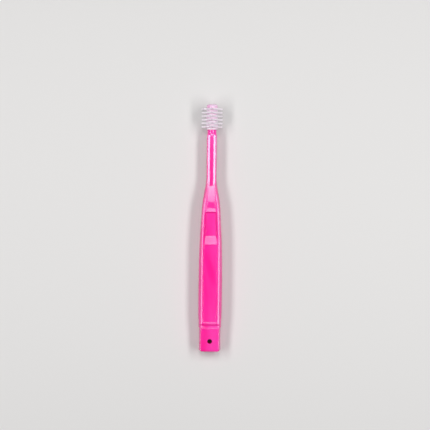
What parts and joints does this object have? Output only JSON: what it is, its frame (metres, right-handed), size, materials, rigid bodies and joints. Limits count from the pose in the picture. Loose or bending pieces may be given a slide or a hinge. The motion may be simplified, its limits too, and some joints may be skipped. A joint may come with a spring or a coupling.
{
  "type": "pet toothbrush",
  "caption": "Slim pet toothbrush with a round all-angle head of stacked bristle discs, a smooth end cap, a thumb recess and a hang hole in the flat tail.",
  "frame": {"origin": "on the surface the brush lies on, under the middle of its length", "axes": "+Y from the tail to the head, +Z out of the front of the handle, +X to the right seen from the front with the head up"},
  "size_m": [0.0132, 0.14, 0.012],
  "materials": {
    "handle_plastic": "glossy, slightly translucent hot pink moulding",
    "ring_nylon": "pale translucent nylon, satin",
    "bristle_nylon": "soft white nylon filaments",
    "cap_plastic": "smooth pale pink moulding"
  },
  "bodies": {
    "root": {"handle": "handle_plastic", "base_ring_1": "ring_nylon", "bristle_disc_1": "bristle_nylon", "base_ring_2": "ring_nylon", "bristle_disc_2": "bristle_nylon", "base_ring_3": "ring_nylon", "bristle_disc_3": "bristle_nylon", "base_ring_4": "ring_nylon", "bristle_disc_4": "bristle_nylon", "base_ring_5": "ring_nylon", "bristle_disc_5": "bristle_nylon", "base_ring_6": "ring_nylon", "bristle_disc_6": "bristle_nylon", "end_cap": "cap_plastic"}
  },
  "joints": []
}
